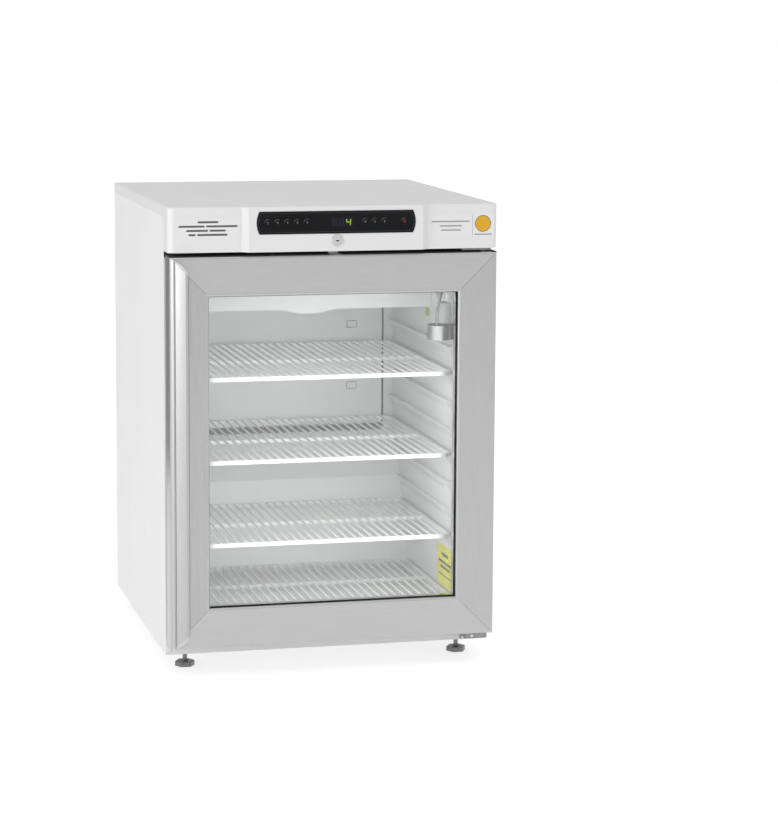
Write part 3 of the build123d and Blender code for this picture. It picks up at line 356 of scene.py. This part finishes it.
def facing_front(y):
    """Places (u, v, w) as (x, z) on a plane that faces -Y, w standing out of it."""
    return lambda u, v, w: (u, y - w, v)


def facing_left(x):
    """Places (u, v, w) as (y, z) on a plane that faces -X, w standing out of it."""
    return lambda u, v, w: (x - w, u, v)


def drawn(place):
    """The same placing, with heights counted from the drawing's datum."""
    return lambda u, v, w: place(u, v + DATUM, w)


def ring_between(bm, outer, inner, place, depth):
    """A flat band between two outlines with the same number of points."""
    count = len(outer)
    rings = [
        [bm.verts.new(place(u, v, w)) for u, v in outline]
        for outline, w in ((outer, 0.0), (outer, depth), (inner, depth), (inner, 0.0))
    ]
    for a, b in zip(rings, rings[1:] + rings[:1]):
        for i in range(count):
            j = (i + 1) % count
            bm.faces.new([a[i], a[j], b[j], b[i]])


def circle(cx, cy, radius, steps=40):
    """A round outline."""
    angles = [math.tau * k / steps for k in range(steps)]
    return [(cx + radius * math.cos(a), cy + radius * math.sin(a)) for a in angles]


def plate(name, outline, place, depth, surface, body):
    """One flat piece with the given outline."""
    add(name, lambda bm: extruded(bm, outline, place, depth), surface, body)


def bar_print(name, bars, place, surface, body):
    """Printed marks without lettering: bars are (u, v, width, height), each with round ends."""

    def build(bm):
        for u, v, width, height in bars:
            extruded(bm, rounded(u, v, width, height, 0.45 * min(width, height), 3), place, PRINT_T)

    add(name, build, surface, body)


def turned(bm, profile, centre, steps):
    """A solid of revolution about Y: profile is (radius, along) pairs from one end to the other."""
    loops = []
    for radius, along in profile:
        points = circle(centre[0], centre[2], radius, steps)
        loops.append([bm.verts.new((x, centre[1] + along, z)) for x, z in points])
    for a, b in zip(loops, loops[1:]):
        for i in range(steps):
            j = (i + 1) % steps
            bm.faces.new([a[i], a[j], b[j], b[i]])
    bm.faces.new(loops[0])
    bm.faces.new(list(reversed(loops[-1])))


# ---------------------------------------------------------------- prints on the fascia

print_dark = plastic("print_dark", grey(0.10), 0.5)
print_grey = plastic("print_grey", grey(0.36), 0.5)
amber = plastic("print_amber", (0.76, 0.40, 0.01), 0.45)
film = soft_white("label_film", 0.76, 0.36, 0.25, 900.0, 0.00002)


def fascia_labels():
    """Two clear films with grey bars where the printing is, and a plain amber disc."""
    fascia_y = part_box("door_rail_top")[0].y
    front = drawn(facing_front(fascia_y))
    over = drawn(facing_front(fascia_y - LABEL_FILM_T))
    left = rounded(-0.2265, 0.7920, 0.1155, 0.042, 0.003)
    right = rounded(0.2330, 0.7920, 0.115, 0.043, 0.003)
    plate("label_left_film", left, front, LABEL_FILM_T, film, "cabinet")
    plate("label_right_film", right, front, LABEL_FILM_T, film, "cabinet")

    # Rows of bars on the left: height, then each bar's middle and width.
    rows = (
        (0.8040, ((-0.2274, 0.0365),)),
        (0.7966, ((-0.2563, 0.0460), (-0.2030, 0.0557))),
        (0.7891, ((-0.2464, 0.0384), (-0.2103, 0.0287))),
        (0.7818, ((-0.2556, 0.0126), (-0.2197, 0.0534))),
    )
    bars = [(u, v, width, 0.0034) for v, row in rows for u, width in row]
    bar_print("label_left_bars", bars, over, print_dark, "cabinet")

    # Three rows, the bar under the disc and the fine line beside it.
    bars = [
        (0.2100, 0.7990, 0.0700, 0.0026),
        (0.2101, 0.7911, 0.0410, 0.0026),
        (0.2105, 0.7837, 0.0370, 0.0026),
        (0.2700, 0.7754, 0.0320, 0.0024),
        (0.2503, 0.7916, 0.0007, 0.0390),
    ]
    bar_print("label_right_bars", bars, over, print_grey, "cabinet")
    disc = circle(0.2696, 0.7946, 0.0136)
    edge = circle(0.2696, 0.7946, 0.0148)
    plate("label_right_disc", disc, over, LABEL_FILM_T, amber, "cabinet")

    def rim(bm):
        ring_between(bm, edge, disc, over, LABEL_FILM_T)

    add("label_right_rim", rim, print_dark, "cabinet")


# ---------------------------------------------------------------- control panel details

line_grey = plastic("line_grey", (0.045, 0.050, 0.060), 0.4)
symbol_grey = plastic("symbol_grey", (0.14, 0.15, 0.17), 0.4)
# Painted highlight: the light crescent on each button's upper left rim.
painted_rim_highlight = plastic("painted_rim_highlight", (0.10, 0.10, 0.10), 0.35)
symbol_red = plastic("symbol_red", (0.16, 0.02, 0.02), 0.4)
segment_dim = dull_black("segment_dim", (0.026, 0.022, 0.040), 0.3)
segment_lit = glow("segment_lit", (0.24, 0.42, 0.0), 0.55)

# Each display segment's middle, in widths and half heights of the figure, and whether it lies flat.
SEGMENTS = {
    "a": (0.0, 1.0, True),
    "b": (0.5, 0.5, False),
    "c": (0.5, -0.5, False),
    "d": (0.0, -1.0, True),
    "e": (-0.5, -0.5, False),
    "f": (-0.5, 0.5, False),
    "g": (0.0, 0.0, True),
}


def panel_outline(inset):
    """The control panel's outline with bowed ends, moved inwards."""
    low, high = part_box("control_panel")
    half_h = (high.z - low.z) / 2
    middle = (high.z + low.z) / 2
    bow = 0.005
    reach = (half_h**2 + bow**2) / (2 * bow)
    half_angle = math.asin(half_h / reach)
    shrink = (half_h - inset) / half_h
    half_steps = 6
    points = []
    for side in (1, -1):
        for k in range(2 * half_steps + 1):
            angle = half_angle * (1 - k / half_steps)
            x = high.x - reach + reach * math.cos(angle)
            z = reach * math.sin(angle)
            points.append((side * (x - inset), middle + side * z * shrink))
    return points


def panel_line():
    """A fine grey line just inside the control panel's edge."""
    place = facing_front(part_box("control_panel")[0].y)

    def build(bm):
        ring_between(bm, panel_outline(0.0030), panel_outline(0.0034), place, 0.00008)

    add("panel_line", build, line_grey, "cabinet")


def display():
    """Three seven-segment places: two dark ones and a lit figure 4."""
    low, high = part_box("display_window")
    middle = (low.z + high.z) / 2
    place = facing_front(low.y)
    width = 0.0072
    half = 0.0056
    thick = 0.0017
    lean = 0.10
    dark_places = (-0.0040, 0.0085)
    lit_place = 0.0210

    def segment(bm, x, key):
        u, v, flat = SEGMENTS[key]
        cu = x + u * width + lean * v * half
        cv = middle + v * half
        length = (width if flat else half) - thick * 0.5
        shape = rounded(0, 0, length, thick, thick * 0.4, 3)
        points = []
        for a, b in shape:
            along, across = (a, b) if flat else (b, a)
            points.append((cu + along + (0 if flat else lean * across), cv + across))
        extruded(bm, points, place, FINE_MARK_T)

    def dark(bm):
        for x in dark_places:
            for key in SEGMENTS:
                segment(bm, x, key)
        for key in "ade":
            segment(bm, lit_place, key)

    def lit(bm):
        for key in "bcfg":
            segment(bm, lit_place, key)

    add("display_dark_segments", dark, segment_dim, "cabinet")
    add("display_figure", lit, segment_lit, "cabinet")


def crescent(cx, cz, radius, thickest, start, end, steps=18):
    """Outline of a thin crescent on a circle: it tapers to almost nothing at both ends."""
    thinnest = 0.00012
    outer, inner = [], []
    for k in range(steps + 1):
        angle = math.radians(start + (end - start) * k / steps)
        width = thinnest + thickest * math.sin(math.pi * k / steps)
        outer.append((cx + radius * math.cos(angle), cz + radius * math.sin(angle)))
        inner.append((cx + (radius - width) * math.cos(angle), cz + (radius - width) * math.sin(angle)))
    return outer + inner[::-1]


def button_details():
    """The painted highlight on each button's upper left rim, and a small plain mark on its cap."""
    for number in range(1, 9):
        wide = number % 2 == 0
        button_detail(f"button_{number}", plain_mark, 0.0030 if wide else 0.0024, symbol_grey)
    button_detail("power_button", power_mark, 0.0028, symbol_red)


def button_detail(name, mark, size, surface):
    """One button's painted rim highlight and its mark; both ride on its cap."""
    low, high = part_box(name)
    cx, cz = (low.x + high.x) / 2, (low.z + high.z) / 2
    place = facing_front(low.y)

    # Painted highlight: a light crescent on the upper left of the button's rim.
    def rim(bm):
        outline = crescent(cx, cz, 0.0060, 0.0008, 45.0, 190.0)
        near = [bm.verts.new(place(u, v, FINE_MARK_T)) for u, v in outline]
        half = len(near) // 2
        for i in range(half - 1):
            bm.faces.new([near[i], near[i + 1], near[-2 - i], near[-1 - i]])

    add(f"{name}_rim", rim, painted_rim_highlight, f"{name}_cap")
    add(f"{name}_mark", lambda bm: mark(bm, cx, cz, place, size), surface, f"{name}_cap")


def plain_mark(bm, cx, cz, place, width):
    """Two short bars, one above the other."""
    extruded(bm, rounded(cx, cz + 0.0006, width, 0.0018, 0.0006, 3), place, FINE_MARK_T)
    extruded(bm, rounded(cx, cz - 0.0018, width * 0.8, 0.0010, 0.0004, 3), place, FINE_MARK_T)


def power_mark(bm, cx, cz, place, radius):
    """A ring with a stroke at its top."""
    ring_between(bm, circle(cx, cz, radius), circle(cx, cz, 0.0015), place, FINE_MARK_T)
    extruded(bm, rounded(cx, cz + 0.0022, 0.0009, 0.0026, 0.0003, 3), place, 0.00008)


def key_slot():
    """Painted shade: a dark plate just inside the lock's key slot, for the shade deep in the slot."""
    low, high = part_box("lock_escutcheon")
    depth = 0.0006
    slot = rounded((low.x + high.x) / 2, (low.z + high.z) / 2, 0.0054, 0.0024, 0.0004, 3)
    place = facing_front(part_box("lock_barrel")[0].y + depth)
    plate("key_slot_shade", slot, place, 0.0002, rubber_and_painted_shade, "lock")


# ---------------------------------------------------------------- stickers and small parts

yellow = plastic("label_yellow", (0.80, 0.76, 0.09), 0.5)
yellow_green = plastic("sticker_green", (0.42, 0.55, 0.10), 0.5)
print_olive = plastic("print_olive", (0.10, 0.13, 0.06), 0.5)
# Painted shade: this black stands in for the shade in the gap above the door.
gap_shade_black = plastic("gap_shade_black", grey(0.035), 0.6)
seam_grey = plastic("seam_grey", grey(0.20), 0.5)
tab_shadow = plastic("tab_shadow", grey(0.09), 0.6)


def wall_labels():
    """Two labels on the chamber's right wall, with bars in place of printing."""
    shelf_clearance = 0.0050
    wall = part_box("shelf_1")[1].x + shelf_clearance
    place = drawn(facing_left(wall))
    over = drawn(facing_left(wall - LABEL_FILM_T))
    big = rounded(-0.1960, 0.1490, 0.118, 0.076, 0.001)
    small = rounded(-0.0540, 0.6080, 0.032, 0.016, 0.001)
    plate("wall_label", big, place, LABEL_FILM_T, yellow, "cabinet")
    plate("wall_sticker", small, place, LABEL_FILM_T, yellow_green, "cabinet")
    bars = [
        (-0.1930, 0.1690, 0.046, 0.0065),
        (-0.1965, 0.1545, 0.096, 0.0050),
        (-0.1950, 0.1450, 0.066, 0.0050),
        (-0.1965, 0.1300, 0.096, 0.0022),
    ]
    bar_print("wall_label_bars", bars, over, print_olive, "cabinet")


def mitre_seams():
    """Fine dark joints where the frame members meet, on the door's front face."""
    low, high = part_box("door_stile_left")
    half_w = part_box("door_stile_right")[1].x
    place = facing_front(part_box("door_rail_bottom")[0].y)
    seam_half = 0.00020
    frame_w = 0.0660

    # A seam starts past the grip on the left, and past the rounded edge on the right.
    starts = {-1: 0.036, 1: 0.005}

    def build(bm):
        for side, start in starts.items():
            corners = ((start, seam_half), (frame_w, seam_half), (frame_w, -seam_half), (start, -seam_half))
            for end, inward in ((low.z, 1), (high.z, -1)):
                outline = [
                    (side * (half_w - along - off), end + inward * (along - off)) for along, off in corners
                ]
                extruded(bm, outline, place, 0.00005)

    add("mitre_seams", build, seam_grey, "door")


def back_wall_details():
    """Painted shade: a dark strip in the gap beside the air panel, and dark rings round its pressed tabs,
    standing in for the shade in the gap and at the tabs' edges.
    """
    low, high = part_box("air_panel")
    sheet_t = 0.0015
    panel_y = high.y - sheet_t
    top = high.z - 0.002

    def gap(bm):
        for side in (-1, 1):
            x0, x1 = side * (high.x + 0.0002), side * (high.x + 0.0038)
            outline = [(x0, low.z), (x1, low.z), (x1, top), (x0, top)]
            extruded(bm, outline, facing_front(panel_y + 0.0012), SHADE_SHEET_T)

    def edges(bm):
        for x in (-0.152, 0.152):
            for z in (0.4335, 0.5548):
                outer = rounded(x, z, 0.0204, 0.0140, 0.002)
                inner = rounded(x, z, 0.0182, 0.0118, 0.0012)
                ring_between(bm, outer, inner, drawn(facing_front(panel_y)), SHADE_SHEET_T)

    # Both pieces are painted shade.
    add("air_panel_gap_shade", gap, rubber_and_painted_shade, "cabinet")
    add("air_panel_tab_shade", edges, tab_shadow, "cabinet")


def sill_plug():
    """White dome that closes a hole in the sill, at the side away from the hinge."""
    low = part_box("front_sill")[0]
    centre = (low.x + 0.0045, low.y, 0.037 + DATUM)
    radius = 0.00375
    edge = 0.0004
    rise = 0.0016
    profile = [(radius, 0.0), (radius, -edge)]
    for step in range(15, 90, 15):
        angle = math.radians(step)
        profile.append((radius * math.cos(angle), -edge - rise * math.sin(angle)))
    profile.append((0.0001, -edge - rise))

    def build(bm):
        turned(bm, profile, centre, 24)

    add("sill_plug", build, moulding, "cabinet", smooth=True)


def gap_shade_strips():
    """Painted shade: black sheets on the door's top edge and on the flange behind it, leaving gaps round
    the lock's keeper and the hinge; they stand in for the deep shade in the gap under the fascia.
    """
    low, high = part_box("door_rail_bottom")
    half = high.x - 0.0006
    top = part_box("door_stile_left")[1].z
    front, back = low.y + 0.0015, high.y - 0.0082
    flange_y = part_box("inner_liner")[0].y

    def on_door(bm):
        for x0, x1 in ((-half, -0.0085), (0.0115, 0.2670), (0.2870, half)):
            outline = [(x0, front), (x1, front), (x1, back), (x0, back)]
            extruded(bm, outline, lambda u, v, w: (u, v, top + w), SHADE_SHEET_T)

    def on_flange(bm):
        for x0, x1 in ((-0.2970, 0.2330), (0.2690, 0.2970)):
            outline = [(x0, top - 0.005), (x1, top - 0.005), (x1, top + 0.010), (x0, top + 0.010)]
            extruded(bm, outline, facing_front(flange_y), SHADE_SHEET_T)

    # Painted shade on the door's top and on the flange behind it, not real trim.
    add("door_top_shade", on_door, gap_shade_black, "door")
    add("flange_shade", on_flange, gap_shade_black, "cabinet")


fascia_labels()
panel_line()
gap_shade_strips()
display()
button_details()
key_slot()
wall_labels()
mitre_seams()
back_wall_details()
sill_plug()


# ---------------------------------------------------------------- camera, light and floor


def make_camera():
    """The camera in front, a little to the left and above, with a long lens."""
    azimuth, pitch, roll = (math.radians(a) for a in (14.130, 7.977, 0.348))
    right = Vector((math.cos(azimuth), -math.sin(azimuth), 0.0))
    forward = Vector((
        math.sin(azimuth) * math.cos(pitch), math.cos(azimuth) * math.cos(pitch), -math.sin(pitch)
    ))
    up = right.cross(forward)
    across = right * math.cos(roll) + up * math.sin(roll)
    above = -right * math.sin(roll) + up * math.cos(roll)
    data = bpy.data.cameras.new("camera")
    data.lens = 116.7
    data.shift_y = -0.0515
    data.clip_end = 200.0
    camera = bpy.data.objects.new("camera", data)
    turn = Matrix((across, above, -forward)).transposed().to_4x4()
    camera.matrix_world = Matrix.Translation((-1.0525, -4.8816, 1.1963 + DATUM)) @ turn
    bpy.context.scene.collection.objects.link(camera)
    bpy.context.scene.camera = camera


def area_light(name, place, target, size, power, spread=math.pi):
    """A soft lamp aimed at a point, which the camera sees only in reflections."""
    data = bpy.data.lights.new(name, "AREA")
    data.shape = "RECTANGLE"
    data.size, data.size_y = size
    data.energy = power
    data.spread = spread
    lamp = bpy.data.objects.new(name, data)
    lamp.location = place
    lamp.rotation_euler = (Vector(target) - Vector(place)).to_track_quat("-Z", "Y").to_euler()
    lamp.visible_camera = False
    lamp.visible_transmission = False
    bpy.context.scene.collection.objects.link(lamp)


def sky(world):
    """White for the camera; for the object, a dome that brightens from the horizon to overhead."""
    horizon = 0.45
    zenith = 1.4
    world.use_nodes = True
    tree = world.node_tree
    tree.nodes.clear()
    output = tree.nodes.new("ShaderNodeOutputWorld")
    seen = tree.nodes.new("ShaderNodeBackground")
    seen.inputs["Color"].default_value = (1.0, 1.0, 1.0, 1.0)
    dome = tree.nodes.new("ShaderNodeBackground")
    place = tree.nodes.new("ShaderNodeTexCoord")
    axes = tree.nodes.new("ShaderNodeSeparateXYZ")
    tree.links.new(place.outputs["Generated"], axes.inputs[0])
    height = tree.nodes.new("ShaderNodeMapRange")
    height.inputs["From Min"].default_value = 0.0
    height.inputs["From Max"].default_value = 0.9
    height.inputs["To Min"].default_value = horizon
    height.inputs["To Max"].default_value = zenith
    tree.links.new(axes.outputs["Z"], height.inputs["Value"])
    tree.links.new(height.outputs["Result"], dome.inputs["Strength"])
    path = tree.nodes.new("ShaderNodeLightPath")
    mix = tree.nodes.new("ShaderNodeMixShader")
    tree.links.new(path.outputs["Is Camera Ray"], mix.inputs[0])
    tree.links.new(dome.outputs[0], mix.inputs[1])
    tree.links.new(seen.outputs[0], mix.inputs[2])
    tree.links.new(mix.outputs[0], output.inputs["Surface"])


def dark_card():
    """A grey card behind on the left, seen only in reflections, that keeps the handle's side face grey."""
    corners = [(-0.5, 1.8, 0.0), (-2.0, 1.6, 0.0), (-2.0, 1.6, 1.6), (-0.5, 1.8, 1.6)]
    card = stage_sheet("dark_card", corners, plastic("card_grey", grey(0.22), 0.8))
    for ray in ("camera", "diffuse", "transmission", "shadow"):
        setattr(card, f"visible_{ray}", False)


def floor_sheet():
    """A plain pale floor that gives some light of its own, so that it stays white up to the horizon."""
    half = 30.0
    corners = [(-half, -half, 0), (half, -half, 0), (half, half, 0), (-half, half, 0)]
    pale = Surface("floor_pale", 0.7)
    pale.colour(pale.noise(3.0), (0.3, grey(0.45)), (0.7, grey(0.47)))
    pale.shader.inputs["Emission Color"].default_value = (1.0, 1.0, 1.0, 1.0)
    pale.shader.inputs["Emission Strength"].default_value = 0.66
    stage_sheet("floor", corners, pale)


def stage_sheet(name, corners, surface):
    """A flat four-cornered piece of the studio, which isn't part of the object."""
    mesh = bpy.data.meshes.new(name)
    mesh.from_pydata(corners, [], [(0, 1, 2, 3)])
    mesh.materials.append(surface.material)
    sheet = bpy.data.objects.new(name, mesh)
    bpy.context.scene.collection.objects.link(sheet)
    return sheet


def make_stage():
    """World, lamps, card and floor."""
    world = bpy.data.worlds.new("studio")
    sky(world)
    bpy.context.scene.world = world
    bpy.context.scene.view_settings.view_transform = "Standard"
    area_light("left_softbox", (-3.3, -1.6, 0.95), (-0.3, -0.4, 0.5), (4.2, 1.5), 16.0, 1.9)
    area_light("front_left_softbox", (-2.3, -3.9, 0.9), (-0.2, -0.3, 0.45), (1.6, 1.4), 3.0)
    area_light("front_softbox", (0.9, -5.2, 2.2), (0.0, 0.0, 0.45), (2.6, 2.0), 3.5)
    opening_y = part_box("inner_liner")[0].y - 0.003
    area_light("chamber_light", (0.0, opening_y, 0.38), (0.0, 0.0, 0.38), (0.42, 0.52), 1.0)
    dark_card()
    floor_sheet()


make_camera()
make_stage()
